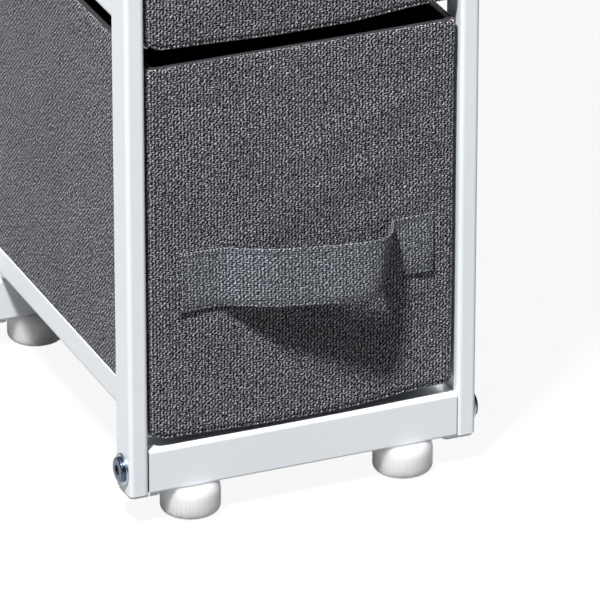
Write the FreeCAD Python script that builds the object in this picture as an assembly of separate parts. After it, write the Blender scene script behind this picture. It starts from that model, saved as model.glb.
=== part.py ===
import FreeCAD, Part
import math
import os

os.makedirs("parts", exist_ok=True)

Vector = FreeCAD.Vector
RIGHT = Vector(1, 0, 0)
BACK = Vector(0, 1, 0)
UP = Vector(0, 0, 1)

# A slim tower of fabric drawers: +Z up, the fronts face -Y, and the origin is on the floor
# under the middle of the whole unit, handles included. All lengths are in millimetres.

# The frame's overall size, over its posts
unit_width = 240.0
unit_depth = 300.0
drawer_count = 3
cut_overrun = 5.0

# Rectangular steel tubes
post_width = 13.0
post_depth = 25.0
rail_height = 30.0
tube_wall = 1.2
post_corner = 3.0
rail_corner = 1.8
rail_end_gap = 0.45

# Adjustable feet
foot_height = 22.0
foot_radius = 19.8
foot_top_radius = 18.9
foot_shoulder = 5.0
foot_rim = 4.2
foot_top_gap = 0.3
foot_from_side = 46.0
foot_travel = 12.0
stud_radius = 4.0
stud_spare = 5.3
stud_in_foot = 14.0
stud_hole_clearance = 0.5
foot_nut_flats = 13.0
foot_nut_height = 6.5
thread_clearance = 0.05

# Corner plates under the posts
plate_length = 21.5
plate_depth = 22.5
plate_thickness = 2.0
plate_corner = 4.0
plate_from_side = 0.5

# Bolts through the posts into the rails' ends
bolt_radius = 3.0
bolt_hole_clearance = 0.3
bolt_head_radius = 8.3
bolt_head_height = 2.6
bolt_head_round = 1.2
bolt_socket_flats = 6.4
bolt_socket_depth = 1.8
washer_radius = 10.6
washer_thickness = 1.4
rail_nut_length = 12.0
rail_nut_clearance = 0.2

# Angle runners that carry the drawers
runner_gap = 1.3
runner_sheet = 1.0
runner_bend = 3.8
runner_height = 20.0
runner_shelf = 15.0
shelf_setback = 6.0
runner_setback = 8.0
runner_above_rail = 6.2
runner_pad_margin = 2.5
stop_height = 9.0
stop_clearance = 0.5
stop_from_bend = 1.0

# Fabric drawers on stiff boards
drawer_height = 254.0
drawer_recess = 2.4
drawer_rear_gap = 10.0
drawer_side_clearance = 0.5
drawer_lift = 0.3
drawer_spacing = 14.0
cover_thickness = 1.2
cover_corner = 4.0
board_thickness = 3.0
lining_thickness = 0.8

# Strap handles sewn to the drawers' fronts
handle_length = 174.0
handle_patch = 36.0
handle_rise = 22.0
handle_fold_radius = 10.0
strap_width = 40.0
strap_thickness = 2.4
strap_above_base = 84.9

# The top
top_gap = 5.0
board_height = 12.0
board_round = 2.0
screw_radius = 2.0
screw_bite = 8.0
screw_clearance = 0.2
screw_head_radius = 4.0
screw_head_height = 2.4
screw_from_post = 30.0

# Places that follow from the sizes
handle_reach = handle_rise + strap_thickness - drawer_recess
foot_reach = max(foot_radius - post_depth / 2, 0)
front = (handle_reach - unit_depth - foot_reach) / 2
side = unit_width / 2
rail_top = foot_height + rail_height
inner_side = side - post_width
runner_face = inner_side - runner_gap
drawer_width = 2 * (runner_face - runner_sheet - drawer_side_clearance)
drawer_front = front + drawer_recess
drawer_back = front + unit_depth - drawer_rear_gap
first_runner = rail_top + runner_above_rail
runner_to_drawer = runner_sheet + drawer_lift
drawer_pitch = drawer_height + drawer_spacing
top_drawer_top = first_runner + runner_to_drawer + (drawer_count - 1) * drawer_pitch + drawer_height
top_rail_bottom = top_drawer_top + top_gap
frame_top = top_rail_bottom + rail_height
unit_height = frame_top + board_height
rail_mid = front + post_depth / 2
stud_top = foot_height + tube_wall + foot_nut_height + foot_travel + stud_spare
bolt_heights = (foot_height + rail_height / 2, frame_top - rail_height / 2)


def block(x_span, y_span, z_span):
    """A box between two limits along each axis."""
    corner = Vector(x_span[0], y_span[0], z_span[0])
    return Part.makeBox(x_span[1] - x_span[0], y_span[1] - y_span[0], z_span[1] - z_span[0], corner)


def rounded_face(width, depth, corner):
    """A rectangle with rounded corners, centred on the origin in the XY plane."""
    x, y = width / 2, depth / 2
    edges = []
    for sign_x, sign_y in ((1, 1), (-1, 1), (-1, -1), (1, -1)):
        centre = Vector(sign_x * (x - corner), sign_y * (y - corner), 0)
        start = math.atan2(sign_y, sign_x) - math.pi / 4
        rim = [centre + Vector(math.cos(a), math.sin(a), 0) * corner
               for a in (start, start + math.pi / 4, start + math.pi / 2)]
        if edges:
            edges.append(Part.LineSegment(last, rim[0]).toShape())
        edges.append(Part.Arc(*rim).toShape())
        last = rim[2]
    edges.append(Part.LineSegment(last, edges[0].Vertexes[0].Point).toShape())
    return Part.Face(Part.Wire(Part.__sortEdges__(edges)))


def tube(width, depth, length, corner):
    """A rectangular tube that stands on the XY plane, centred on the Z axis."""
    outer = rounded_face(width, depth, corner).extrude(UP * length)
    bore = rounded_face(width - 2 * tube_wall, depth - 2 * tube_wall, corner - tube_wall)
    bore.translate(UP * -cut_overrun)
    return outer.cut(bore.extrude(UP * (length + 2 * cut_overrun)))


def hexagon(flats, height):
    """A six-sided prism on the Z axis, measured over its flats."""
    radius = flats / math.sqrt(3)
    points = [Vector(radius * math.cos(k * math.pi / 3), radius * math.sin(k * math.pi / 3), 0)
              for k in range(7)]
    return Part.Face(Part.makePolygon(points)).extrude(UP * height)


def across(shape):
    """The same shape on the other side of the unit."""
    return shape.mirror(Vector(0, 0, 0), RIGHT)


def behind(shape):
    """The same shape at the other end of the frame, front to rear."""
    return shape.mirror(Vector(0, front + unit_depth / 2, 0), BACK)


def four_corners(shape):
    """A shape at the front left corner of the frame, with its three reflections."""
    return [shape, across(shape), behind(shape), across(behind(shape))]


def save(node, *shapes):
    """Writes one node, as a single solid or a group of separate ones."""
    shape = shapes[0] if len(shapes) == 1 else Part.makeCompound(list(shapes))
    shape.exportStep("parts/" + node + ".step")
    print(node, len(shape.Solids), "solid(s)", "valid" if shape.isValid() else "INVALID",
          round(shape.Volume), "mm3")


def post():
    """The front left post, with a cross hole for a bolt at each rail."""
    shape = tube(post_width, post_depth, frame_top - foot_height, post_corner)
    shape.translate(Vector(-side + post_width / 2, rail_mid, foot_height))
    for height in bolt_heights:
        start = Vector(-side - cut_overrun, rail_mid, height)
        shape = shape.cut(Part.makeCylinder(bolt_radius + bolt_hole_clearance,
                                            post_width + 2 * cut_overrun, start, RIGHT))
    return shape


def cross_rail(bottom, has_feet):
    """A rail between the front posts. The lower one has two holes for the feet's studs."""
    length = 2 * (inner_side - rail_end_gap)
    shape = tube(rail_height, post_depth, length, rail_corner)
    shape.rotate(Vector(0, 0, 0), BACK, 90)
    shape.translate(Vector(-length / 2, rail_mid, bottom + rail_height / 2))
    if has_feet:
        for x in (-side + foot_from_side, side - foot_from_side):
            start = Vector(x, rail_mid, bottom - cut_overrun)
            shape = shape.cut(Part.makeCylinder(stud_radius + stud_hole_clearance,
                                                tube_wall + 2 * cut_overrun, start))
    return shape


def side_rail():
    """The left upper rail, between the front and rear posts, with holes for the top's screws."""
    length = unit_depth - 2 * post_depth
    shape = tube(post_width, rail_height, length, rail_corner)
    shape.rotate(Vector(0, 0, 0), RIGHT, -90)
    shape.translate(Vector(-side + post_width / 2, front + post_depth, frame_top - rail_height / 2))
    for y in (screw_y(), 2 * (front + unit_depth / 2) - screw_y()):
        start = Vector(-side + post_width / 2, y, top_rail_bottom - cut_overrun)
        shape = shape.cut(Part.makeCylinder(screw_radius + screw_clearance,
                                            rail_height + 2 * cut_overrun, start))
    return shape


def screw_y():
    """Where the top's front screws stand, along the depth."""
    return front + post_depth + screw_from_post


def runner(bottom):
    """The left angle runner: an upright flange, a shelf that starts further back, pads and a stop."""
    outer, inner = -runner_face, -runner_face + runner_sheet
    low, high = bottom + runner_sheet, bottom + runner_height
    far = outer + runner_shelf
    y_front, y_back = front + runner_setback, drawer_back + stop_clearance + runner_sheet
    bend = runner_bend
    inside = runner_bend - runner_sheet
    diagonal = math.sin(math.pi / 4)
    centre = Vector(outer + bend, y_front, bottom + bend)
    edges = [
        Part.LineSegment(Vector(outer, y_front, high), Vector(outer, y_front, bottom + bend)),
        Part.Arc(Vector(outer, y_front, bottom + bend),
                 centre + Vector(-bend * diagonal, 0, -bend * diagonal),
                 Vector(outer + bend, y_front, bottom)),
        Part.LineSegment(Vector(outer + bend, y_front, bottom), Vector(far, y_front, bottom)),
        Part.LineSegment(Vector(far, y_front, bottom), Vector(far, y_front, low)),
        Part.LineSegment(Vector(far, y_front, low), Vector(outer + bend, y_front, low)),
        Part.Arc(Vector(outer + bend, y_front, low),
                 centre + Vector(-inside * diagonal, 0, -inside * diagonal),
                 Vector(inner, y_front, bottom + bend)),
        Part.LineSegment(Vector(inner, y_front, bottom + bend), Vector(inner, y_front, high)),
        Part.LineSegment(Vector(inner, y_front, high), Vector(outer, y_front, high)),
    ]
    wire = Part.Wire([edge.toShape() for edge in edges])
    angle = Part.Face(wire).extrude(BACK * (y_back - y_front))
    angle = angle.cut(block((outer + bend, far + cut_overrun),
                            (y_front - cut_overrun, y_front + shelf_setback),
                            (bottom - cut_overrun, low + cut_overrun)))
    pad_low, pad_high = bottom + runner_bend, high - runner_pad_margin
    front_pad = block((-inner_side, outer),
                      (y_front + shelf_setback, front + post_depth - runner_pad_margin), (pad_low, pad_high))
    rear_pad = block((-inner_side, outer), (front + unit_depth - post_depth + runner_pad_margin, y_back),
                     (pad_low, pad_high))
    stop = block((outer + bend + stop_from_bend, far), (y_back - runner_sheet, y_back),
                 (bottom, low + stop_height))
    return angle.fuse([front_pad, rear_pad, stop]).removeSplitter()


def corner_plate():
    """The thin plate under the front left post and the rail's end."""
    shape = rounded_face(plate_length, plate_depth, plate_corner).extrude(UP * plate_thickness)
    shape.translate(Vector(-side + plate_from_side + plate_length / 2, rail_mid,
                           foot_height - plate_thickness))
    return shape


def frame_bolt(height):
    """A socket bolt through the front left post, on its washer."""
    seat = -side - washer_thickness
    head = Part.makeCylinder(bolt_head_radius, bolt_head_height)
    head = head.makeFillet(bolt_head_round, [edge for edge in head.Edges
                                             if edge.BoundBox.ZMin > bolt_head_height / 2])
    socket = hexagon(bolt_socket_flats, bolt_socket_depth + cut_overrun)
    socket.translate(UP * (bolt_head_height - bolt_socket_depth))
    reach = washer_thickness + post_width + rail_end_gap + rail_nut_length
    shank = Part.makeCylinder(bolt_radius, reach, Vector(0, 0, 0), UP * -1)
    shape = head.cut(socket).fuse(shank).removeSplitter()
    shape.rotate(Vector(0, 0, 0), BACK, -90)
    shape.translate(Vector(seat, rail_mid, height))
    return shape


def washer(height):
    """The wide washer under a bolt's head, with its outer rim eased."""
    disc = Part.makeCylinder(washer_radius, washer_thickness)
    disc = disc.makeFillet(washer_thickness / 2, [edge for edge in disc.Edges
                                                  if edge.BoundBox.ZMin > washer_thickness / 2])
    disc = disc.cut(Part.makeCylinder(bolt_radius + bolt_hole_clearance,
                                      washer_thickness + 2 * cut_overrun, UP * -cut_overrun))
    disc.rotate(Vector(0, 0, 0), BACK, -90)
    disc.translate(Vector(-side, rail_mid, height))
    return disc


def rail_nut(height):
    """The threaded block that closes the front left end of a rail."""
    play = tube_wall + rail_nut_clearance
    shape = rounded_face(rail_height - 2 * play, post_depth - 2 * play, rail_corner - tube_wall)
    shape = shape.extrude(UP * rail_nut_length)
    shape = shape.cut(Part.makeCylinder(bolt_radius + thread_clearance,
                                        rail_nut_length + 2 * cut_overrun, UP * -cut_overrun))
    shape.rotate(Vector(0, 0, 0), BACK, 90)
    shape.translate(Vector(-inner_side + rail_end_gap, rail_mid, height))
    return shape


def foot_nut():
    """The nut inside the lower rail that takes the front left foot's stud."""
    shape = hexagon(foot_nut_flats, foot_nut_height)
    shape = shape.cut(Part.makeCylinder(stud_radius + thread_clearance,
                                        foot_nut_height + 2 * cut_overrun, UP * -cut_overrun))
    shape.translate(Vector(-side + foot_from_side, rail_mid, foot_height + tube_wall))
    return shape


def foot_pad():
    """The front left foot: a barrel that widens downwards, with an eased rim and shoulder."""
    top = foot_height - foot_top_gap
    barrel = Part.makeCone(foot_radius, foot_top_radius, top)
    barrel = barrel.makeFillet(foot_shoulder, [edge for edge in barrel.Edges
                                               if edge.BoundBox.ZMin > top / 2])
    barrel = barrel.makeFillet(foot_rim, [edge for edge in barrel.Edges
                                          if edge.BoundBox.ZMax < foot_rim / 2])
    bore_start = UP * (top - stud_in_foot)
    barrel = barrel.cut(Part.makeCylinder(stud_radius + thread_clearance,
                                          stud_in_foot + cut_overrun, bore_start))
    barrel.translate(Vector(-side + foot_from_side, rail_mid, 0))
    return barrel


def foot_stud():
    """The stud that stands in the front left foot and screws into the rail."""
    low = foot_height - foot_top_gap - stud_in_foot
    start = Vector(-side + foot_from_side, rail_mid, low)
    return Part.makeCylinder(stud_radius, stud_top - low, start)


def drawer_body(base, inset):
    """The solid outside of a drawer, drawn in all round by an inset, with its edges eased."""
    half = drawer_width / 2 - inset
    low, high = base + inset, base + drawer_height
    body = block((-half, half), (drawer_front + inset, drawer_back - inset), (low, high))
    eased = [edge for edge in body.Edges if edge.BoundBox.ZMin < (low + high) / 2]
    return body.makeFillet(cover_corner - inset, eased)


def drawer_cover(base):
    """The fabric outside of a drawer: four walls and a base, open at the top."""
    return drawer_body(base, 0).cut(drawer_body(base, cover_thickness))


def drawer_boards(base):
    """The front, back, left and base boards that stiffen a drawer, rounded where its cover is."""
    half = drawer_width / 2 - cover_thickness
    near, far = drawer_front + cover_thickness, drawer_back - cover_thickness
    low = base + cover_thickness
    walls = (low, base + drawer_height - lining_thickness)
    between = (near + board_thickness, far - board_thickness)
    inner = half - board_thickness
    space = drawer_body(base, cover_thickness)
    spans = (((-half, half), (near, near + board_thickness), walls),
             ((-half, half), (far - board_thickness, far), walls),
             ((-half, -inner), between, walls),
             ((-inner, inner), between, (low, low + board_thickness)))
    return [block(*span).common(space) for span in spans]


def drawer_lining(base):
    """The thin cloth inside a drawer, turned out over the tops of its boards."""
    half = drawer_width / 2 - cover_thickness
    near, far = drawer_front + cover_thickness, drawer_back - cover_thickness
    top = base + drawer_height
    low = base + cover_thickness + board_thickness
    inset = board_thickness
    outer = block((-half + inset, half - inset), (near + inset, far - inset), (low, top))
    rim = block((-half, half), (near, far), (top - lining_thickness, top))
    hollow = inset + lining_thickness
    space = block((-half + hollow, half - hollow), (near + hollow, far - hollow),
                  (low + lining_thickness, top + cut_overrun))
    return outer.fuse(rim).cut(space).removeSplitter()


def strap_handle(base):
    """The sewn strap: two flat ends, and between them a bow of four arcs, each tangent to the next.

    The two radii add up to (span squared + rise squared) / (2 rises), for half the bow's span.
    """
    span = handle_length / 2 - handle_patch
    radii = (span ** 2 + handle_rise ** 2) / (2 * handle_rise)
    crown = radii - handle_fold_radius
    turn = math.asin(span / radii)
    middle = drawer_front - strap_thickness / 2
    z = base + strap_above_base
    crown_centre = Vector(0, middle - handle_rise + crown, z)
    fold_centre = Vector(-span, middle - handle_fold_radius, z)
    tip = -handle_length / 2

    def on_crown(angle, radius):
        """A point of the crown's arc, by its angle from the middle."""
        return crown_centre + Vector(math.sin(angle), -math.cos(angle), 0) * radius

    def on_fold(angle, radius):
        """A point of the left fold's arc, by its angle from the flat end."""
        return fold_centre + Vector(math.sin(angle), math.cos(angle), 0) * radius

    def left_face(offset):
        """One face of the strap's left half, offset towards the front, from its tip to its middle."""
        fold, bow = handle_fold_radius - offset, crown + offset
        start = Vector(tip, middle - offset, z)
        return [Part.LineSegment(start, on_fold(0, fold)).toShape(),
                Part.Arc(on_fold(0, fold), on_fold(turn / 2, fold), on_fold(turn, fold)).toShape(),
                Part.Arc(on_crown(-turn, bow), on_crown(-turn / 2, bow), on_crown(0, bow)).toShape()]

    half = strap_thickness / 2
    faces = left_face(half) + left_face(-half)
    faces += [across(edge) for edge in faces]
    ends = [Part.LineSegment(Vector(x, middle - half, z), Vector(x, middle + half, z)).toShape()
            for x in (tip, -tip)]
    wire = Part.Wire(Part.__sortEdges__(faces + ends))
    return Part.Face(wire).extrude(UP * strap_width)


def top_board():
    """The board on top, with blind holes for its screws."""
    shape = block((-side, side), (front, front + unit_depth), (frame_top, unit_height))
    shape = shape.makeFillet(board_round, shape.Edges)
    for hole in screw_places():
        start = hole + UP * (frame_top - cut_overrun)
        shape = shape.cut(Part.makeCylinder(screw_radius + thread_clearance,
                                            cut_overrun + screw_bite, start))
    return shape


def screw_places():
    """Where the four screws of the top stand, in plan."""
    x, y = side - post_width / 2, screw_y()
    rear = 2 * (front + unit_depth / 2) - y
    return [Vector(sign * x, place, 0) for place in (y, rear) for sign in (-1, 1)]


def board_screw(place):
    """A screw from under a side rail up into the top board."""
    low = top_rail_bottom - screw_head_height
    head = Part.makeCylinder(screw_head_radius, screw_head_height, place + UP * low)
    shank = Part.makeCylinder(screw_radius, frame_top + screw_bite - low, place + UP * low)
    return head.fuse(shank).removeSplitter()


def build_frame():
    """The posts, rails and runners, and what fastens them."""
    corner_names = ("front_left", "front_right", "rear_left", "rear_right")
    for name, shape in zip(corner_names, four_corners(post())):
        save("post_" + name, shape)
    for level, bottom, has_feet in (("lower", foot_height, True), ("upper", top_rail_bottom, False)):
        rail = cross_rail(bottom, has_feet)
        save(level + "_front_rail", rail)
        save(level + "_rear_rail", behind(rail))
    save("upper_left_rail", side_rail())
    save("upper_right_rail", across(side_rail()))
    save("corner_plates", *four_corners(corner_plate()))
    for node, make in (("frame_bolts", frame_bolt), ("bolt_washers", washer), ("rail_nuts", rail_nut)):
        save(node, *[shape for height in bolt_heights for shape in four_corners(make(height))])
    save("foot_nuts", *four_corners(foot_nut()))
    for name, pad, stud in zip(corner_names, four_corners(foot_pad()), four_corners(foot_stud())):
        save("foot_" + name, pad)
        save("stud_" + name, stud)
    save("top_board", top_board())
    save("board_screws", *[board_screw(place) for place in screw_places()])


def build_drawer(number):
    """One drawer with its handle, and the pair of runners under it."""
    bottom = first_runner + (number - 1) * drawer_pitch
    base = bottom + runner_to_drawer
    save(f"runner_{number}_left", runner(bottom))
    save(f"runner_{number}_right", across(runner(bottom)))
    name = f"drawer_{number}_"
    front_board, back_board, left_board, base_board = drawer_boards(base)
    save(name + "cover", drawer_cover(base))
    save(name + "front_board", front_board)
    save(name + "back_board", back_board)
    save(name + "side_boards", left_board, across(left_board))
    save(name + "base_board", base_board)
    save(name + "lining", drawer_lining(base))
    save(name + "handle", strap_handle(base))


build_frame()
for drawer_number in range(1, drawer_count + 1):
    build_drawer(drawer_number)
print("overall", unit_width, handle_reach + unit_depth + foot_reach, unit_height)
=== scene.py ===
"""Dresses a slim tower of woven fabric drawers on a white steel frame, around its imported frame."""
import logging
import math
from collections.abc import Callable
from dataclasses import dataclass, field, replace
from enum import Enum

import bpy
import numpy as np
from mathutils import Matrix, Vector


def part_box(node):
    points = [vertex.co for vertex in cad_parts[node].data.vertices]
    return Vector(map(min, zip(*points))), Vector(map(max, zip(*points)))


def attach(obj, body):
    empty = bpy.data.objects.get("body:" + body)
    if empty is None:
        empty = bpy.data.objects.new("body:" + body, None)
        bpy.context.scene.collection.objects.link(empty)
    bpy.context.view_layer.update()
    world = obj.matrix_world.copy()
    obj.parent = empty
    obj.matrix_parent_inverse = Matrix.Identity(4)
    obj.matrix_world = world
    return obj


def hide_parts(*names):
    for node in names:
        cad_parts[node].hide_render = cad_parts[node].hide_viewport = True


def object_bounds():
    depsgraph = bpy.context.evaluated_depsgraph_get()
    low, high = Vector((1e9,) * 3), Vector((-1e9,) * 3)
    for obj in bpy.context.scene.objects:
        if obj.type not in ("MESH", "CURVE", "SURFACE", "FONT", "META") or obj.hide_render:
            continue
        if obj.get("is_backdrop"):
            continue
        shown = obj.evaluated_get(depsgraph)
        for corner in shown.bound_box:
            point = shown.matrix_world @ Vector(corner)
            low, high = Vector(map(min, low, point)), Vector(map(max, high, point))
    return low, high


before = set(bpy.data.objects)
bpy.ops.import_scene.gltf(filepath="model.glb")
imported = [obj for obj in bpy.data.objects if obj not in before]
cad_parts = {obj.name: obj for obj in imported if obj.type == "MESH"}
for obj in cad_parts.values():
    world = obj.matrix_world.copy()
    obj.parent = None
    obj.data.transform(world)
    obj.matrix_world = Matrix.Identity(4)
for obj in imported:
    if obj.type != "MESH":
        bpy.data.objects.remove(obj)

log = logging.getLogger("drawer_tower")
MM = 0.001
CLOTH_UV = "cloth"
Number = float | int
Colour = tuple[float, float, float]


class Corner(Enum):
    """The four corners of the frame, as their feet are named."""

    FRONT_LEFT = "front_left"
    FRONT_RIGHT = "front_right"
    REAR_LEFT = "rear_left"
    REAR_RIGHT = "rear_right"


class Drawer(Enum):
    """The drawers, from the floor up."""

    LOWER = 1
    MIDDLE = 2
    UPPER = 3

    def node(self, piece: str) -> str:
        """The name of one of this drawer's pieces."""
        return f"drawer_{self.value}_{piece}"

    @property
    def body(self) -> str:
        """The name of the body that slides."""
        return f"drawer_{self.value}"


@dataclass(frozen=True)
class Sewing:
    """How one drawer's front is creased and its strap sewn on, which differ from drawer to drawer.

    The creases' depth and the strap's own crease are shares of the full ones. The slope is the
    strap's rise over its run, and the shift and the offset are in metres.
    """

    crease_share: float
    crease_shift: float
    strap_crease: float
    strap_mirrored: bool
    strap_slope: float
    strap_offset: float


SEWING = {
    Drawer.LOWER: Sewing(1.0, 0.0, 1.0, False, -0.014, 2.2 * MM),
    Drawer.MIDDLE: Sewing(0.35, 13 * MM, 0.35, True, 0.006, -1.5 * MM),
    Drawer.UPPER: Sewing(0.6, 22 * MM, 0.6, False, -0.004, 0.8 * MM),
}


def operator(operation: str, reflected: bool = False) -> Callable:
    """Makes a wire's method for one of Python's operators.

    Args:
        operation: the Math node's operation.
        reflected: whether the wire stands on the operator's right.

    Returns:
        The method.
    """
    def apply(wire: "Wire", other: "Wire | Number") -> "Wire":
        """The wire that the operator gives."""
        return wire.paint.math(operation, *((other, wire) if reflected else (wire, other)))

    return apply


class Wire:
    """A value that runs between shader nodes, with Python's operators as Math nodes."""

    __add__, __radd__ = operator("ADD"), operator("ADD", True)
    __sub__, __rsub__ = operator("SUBTRACT"), operator("SUBTRACT", True)
    __mul__, __rmul__ = operator("MULTIPLY"), operator("MULTIPLY", True)

    def __init__(self, paint: "Paint", socket: bpy.types.NodeSocket) -> None:
        """Keeps the socket and the material that it belongs to.

        Args:
            paint: the material under construction.
            socket: an output of one of its nodes.
        """
        self.paint = paint
        self.socket = socket


class Paint:
    """One material under construction, with a Principled shader and its output."""

    def __init__(self, name: str, **sockets: object) -> None:
        """Starts a material.

        Args:
            name: the material's name.
            sockets: the shader's plain values, with underscores for the spaces in socket names.
        """
        self.material = bpy.data.materials.new(name)
        self.material.use_nodes = True
        self.tree = self.material.node_tree
        self.shader = self.tree.nodes["Principled BSDF"]
        for socket, value in sockets.items():
            self.feed(self.shader.inputs[socket.replace("_", " ")], value)

    def feed(self, socket: bpy.types.NodeSocket, value: object) -> None:
        """Links a wire to a socket, or sets the socket's own value.

        Args:
            socket: the input to feed.
            value: a wire, a number or a colour of three numbers.
        """
        if isinstance(value, Wire):
            self.tree.links.new(value.socket, socket)
        elif isinstance(value, tuple) and socket.type == "RGBA":
            socket.default_value = (*value, 1.0)
        else:
            socket.default_value = value

    def node(self, kind: str, settings: dict | None = None, inputs: dict | None = None,
             output: str | int = 0) -> Wire:
        """Adds any node.

        Args:
            kind: the node's type.
            settings: its properties, which are set first.
            inputs: values or wires by socket name or number.
            output: the output to return.

        Returns:
            The wire from that output.
        """
        made = self.tree.nodes.new(kind)
        for name, value in (settings or {}).items():
            setattr(made, name, value)
        for key, value in (inputs or {}).items():
            self.feed(made.inputs[key], value)
        return Wire(self, made.outputs[output])

    def math(self, operation: str, *values: "Wire | Number") -> Wire:
        """A Math node on one to three values."""
        return self.node("ShaderNodeMath", {"operation": operation}, dict(enumerate(values)))

    def noise(self, vector: Wire, scale: float, detail: float, roughness: float = 0.5) -> Wire:
        """Smooth noise from 0 to 1, in bumps of about one over the scale."""
        return self.node("ShaderNodeTexNoise", {"noise_dimensions": "3D"},
                         {"Vector": vector, "Scale": scale, "Detail": detail, "Roughness": roughness})

    def mix(self, factor: "Wire | Number", first: "Wire | Colour", second: "Wire | Colour") -> Wire:
        """A colour between two.

        Args:
            factor: from 0, the first colour, to 1, the second.
            first: a colour or a wire that carries one.
            second: the same.

        Returns:
            The wire that carries the mixed colour.
        """
        made = self.tree.nodes.new("ShaderNodeMix")
        made.data_type = "RGBA"
        colours = [socket for socket in made.inputs if socket.type == "RGBA"]
        self.feed(made.inputs[0], factor)
        self.feed(colours[0], first)
        self.feed(colours[1], second)
        return Wire(self, next(socket for socket in made.outputs if socket.type == "RGBA"))

    def limits(self, value: Wire, low: float, high: float, new_low: float = 0.0,
               new_high: float = 1.0) -> Wire:
        """A value carried from one range to another and held inside it."""
        return self.node("ShaderNodeMapRange", {"clamp": True},
                         {0: value, 1: low, 2: high, 3: new_low, 4: new_high})

    def place(self) -> Wire:
        """The point on the object, in metres."""
        return self.node("ShaderNodeTexCoord", output="Object")

    def cloth(self) -> tuple[Wire, Wire, Wire]:
        """The place on the piece's own cloth map, in metres, and its parts along and up the cloth."""
        place = self.node("ShaderNodeUVMap", {"uv_map": CLOTH_UV})
        split = self.tree.nodes.new("ShaderNodeSeparateXYZ")
        self.feed(split.inputs[0], place)
        return place, Wire(self, split.outputs[0]), Wire(self, split.outputs[1])

    def finished(self, colour: Wire, roughness: Wire, height: Wire, relief: float,
                 strength: float) -> bpy.types.Material:
        """Feeds the shader its colour, its roughness and a bump.

        Args:
            colour: the base colour.
            roughness: the roughness.
            height: the bump's height, mostly from 0 to 1.
            relief: what a height of 1 stands out, in metres.
            strength: the bump's strength.

        Returns:
            The finished material.
        """
        normal = self.node("ShaderNodeBump", None,
                           {"Height": height, "Distance": relief, "Strength": strength}, "Normal")
        for name, wire in (("Base Color", colour), ("Roughness", roughness), ("Normal", normal)):
            self.feed(self.shader.inputs[name], wire)
        return self.material


@dataclass(frozen=True)
class HardFinish:
    """A finish with patches that run between two colours, and a fine grain that stands in relief.

    Patches and grain are each a noise, given by its scale, detail and roughness. The surface's
    roughness is a least one plus a share of each.
    """

    name: str
    tint: Colour
    shade: Colour
    patches: tuple[float, ...]
    grain: tuple[float, ...]
    roughness: float
    relief: float
    relief_strength: float = 0.5
    grain_roughness: float = 0.0
    patch_roughness: float = 0.0
    patch_range: tuple[float, float] = (0.3, 0.7)
    sockets: dict[str, object] = field(default_factory=dict)

    def material(self) -> bpy.types.Material:
        """Mixes the finish.

        Returns:
            The material.
        """
        paint = Paint(self.name, **self.sockets)
        place = paint.place()
        patches, grain = paint.noise(place, *self.patches), paint.noise(place, *self.grain)
        colour = paint.mix(paint.limits(patches, *self.patch_range), self.shade, self.tint)
        roughness = self.roughness + grain * self.grain_roughness + patches * self.patch_roughness
        return paint.finished(colour, roughness, grain, self.relief, self.relief_strength)


# White powder paint on steel: a fine orange peel, and a touch of unevenness in its gloss.
POWDER_COAT = HardFinish(
    "powder_coat", tint=(0.815, 0.85, 0.885), shade=(0.785, 0.825, 0.865), patches=(9.0, 3.0),
    grain=(420.0, 2.0), roughness=0.3, grain_roughness=0.12, patch_roughness=0.06,
    relief=0.05 * MM, relief_strength=0.6,
    sockets={"Specular_IOR_Level": 0.5, "Coat_Weight": 0.25, "Coat_Roughness": 0.12})

# Bluish zinc on fasteners, with fine grain and handling smudges that dull it in spots.
# Painted dark reflection: the bolt heads' copy is near black, standing in for dark surroundings
# reflected in the metal; the pale copy goes on washers, nuts, screws and studs.
ZINC_WITH_PAINTED_DARK_REFLECTION = HardFinish(
    "zinc_with_painted_dark_reflection", tint=(0.16, 0.20, 0.27), shade=(0.05, 0.065, 0.09), patches=(160.0, 4.0, 0.6),
    grain=(900.0, 2.0), patch_range=(0.35, 0.65), roughness=0.16, grain_roughness=0.12,
    patch_roughness=0.16, relief=0.03 * MM, sockets={"Metallic": 1.0})
PALE_ZINC = replace(ZINC_WITH_PAINTED_DARK_REFLECTION, name="pale_zinc", tint=(0.50, 0.58, 0.68), shade=(0.30, 0.36, 0.44))

# White moulded plastic with the soft gloss and slight mottle of polythene.
MOULDED_PLASTIC = HardFinish(
    "moulded_plastic", tint=(0.86, 0.855, 0.865), shade=(0.83, 0.825, 0.835), patches=(140.0, 3.0),
    grain=(1400.0, 1.0), patch_range=(0.0, 1.0), roughness=0.36, patch_roughness=0.14,
    relief=0.02 * MM, sockets={"Subsurface_Weight": 1.0, "Subsurface_Scale": 26 * MM,
                               "Subsurface_Radius": (1.0, 0.95, 0.9)})

# Raw fibreboard: a felted brown surface.
FIBRE_BOARD = HardFinish(
    "fibre_board", tint=(0.40, 0.28, 0.17), shade=(0.27, 0.18, 0.10), patches=(700.0, 4.0, 0.7),
    grain=(700.0, 4.0, 0.7), roughness=0.7, grain_roughness=0.2, relief=0.05 * MM,
    sockets={"Specular_IOR_Level": 0.3})

# Matt laminate for the top board with a fine pebbled press. Its light grey is painted shade, darker
# than white to offset the strong light on upward faces.
LAMINATE_WITH_PAINTED_SHADE = HardFinish(
    "grey_laminate", tint=(0.42, 0.425, 0.43), shade=(0.39, 0.395, 0.40), patches=(14.0, 3.0),
    grain=(650.0, 3.0, 0.6), roughness=0.42, grain_roughness=0.14, relief=0.05 * MM,
    relief_strength=0.6, sockets={"Specular_IOR_Level": 0.45})

# Twisted dark grey thread.
SEWING_THREAD = HardFinish(
    "sewing_thread", tint=(0.12, 0.125, 0.14), shade=(0.035, 0.037, 0.043), patches=(1500.0, 2.0),
    grain=(1500.0, 2.0), roughness=0.6, grain_roughness=0.2, relief=0.1 * MM, relief_strength=0.6,
    sockets={"Specular_IOR_Level": 0.3})


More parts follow.
